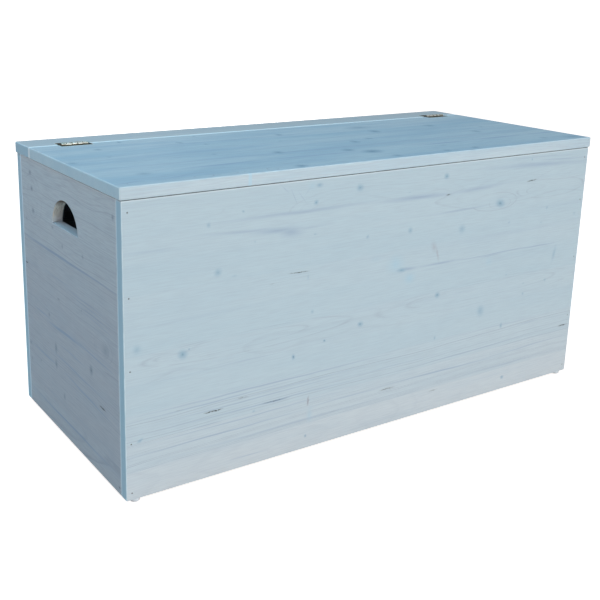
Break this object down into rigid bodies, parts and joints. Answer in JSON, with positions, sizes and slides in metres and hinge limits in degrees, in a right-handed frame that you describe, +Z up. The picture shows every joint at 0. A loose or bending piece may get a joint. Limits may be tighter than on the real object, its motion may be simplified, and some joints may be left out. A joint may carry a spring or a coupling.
{
  "type": "storage chest",
  "caption": "Long low wooden storage chest on glides, with D-shaped hand holes in its ends and a flat lid hinged to a fixed rail along the back of the top.",
  "frame": {"origin": "on the floor, under the middle of the whole chest", "axes": "+X to the right along the length, +Y towards the back rail, +Z up; the front with the brad heads faces -Y"},
  "size_m": [1.005, 0.442, 0.4991],
  "materials": {
    "stained_spruce": "thin blue-white glaze with the grain and knots showing through, satin",
    "bare_spruce": "planed, untreated",
    "bottom_plywood": "sanded, untreated",
    "beech_dowel": "turned, untreated",
    "hinge_brass": "brass plate, lightly tarnished",
    "hinge_screw": "brass plate",
    "hinge_pin_steel": "drawn wire",
    "zinc_screw": "zinc plate",
    "brad_steel": "dull steel",
    "white_plastic": "moulded, satin"
  },
  "bodies": {
    "chest": {"front_panel": "stained_spruce", "back_panel": "stained_spruce", "left_side_panel": "stained_spruce", "right_side_panel": "stained_spruce", "rear_rail": "stained_spruce", "bottom_panel": "bottom_plywood", "front_cleat": "bare_spruce", "back_cleat": "bare_spruce", "left_cleat": "bare_spruce", "right_cleat": "bare_spruce", "front_cleat_screws": "zinc_screw", "front_bottom_screws": "zinc_screw", "back_cleat_screws": "zinc_screw", "back_bottom_screws": "zinc_screw", "left_cleat_screws": "zinc_screw", "left_bottom_screws": "zinc_screw", "right_cleat_screws": "zinc_screw", "right_bottom_screws": "zinc_screw", "front_left_brads": "brad_steel", "front_left_glide": "white_plastic", "front_right_brads": "brad_steel", "front_right_glide": "white_plastic", "back_left_brads": "brad_steel", "back_left_glide": "white_plastic", "back_right_brads": "brad_steel", "back_right_glide": "white_plastic", "glide_nails": "brad_steel", "rail_dowels": "beech_dowel", "left_hinge_rail_leaf": "hinge_brass", "left_hinge_rail_screws": "hinge_screw", "left_hinge_pin": "hinge_pin_steel", "right_hinge_rail_leaf": "hinge_brass", "right_hinge_rail_screws": "hinge_screw", "right_hinge_pin": "hinge_pin_steel"},
    "lid": {"lid_panel": "stained_spruce", "left_hinge_lid_leaf": "hinge_brass", "left_hinge_lid_screws": "hinge_screw", "right_hinge_lid_leaf": "hinge_brass", "right_hinge_lid_screws": "hinge_screw"}
  },
  "joints": [
    {"name": "lid_hinge", "type": "hinge", "parent": "chest", "child": "lid", "pos_m": [0, 0.1479, 0.4961], "axis": [-1, 0, 0], "range_deg": [0, 180]}
  ]
}
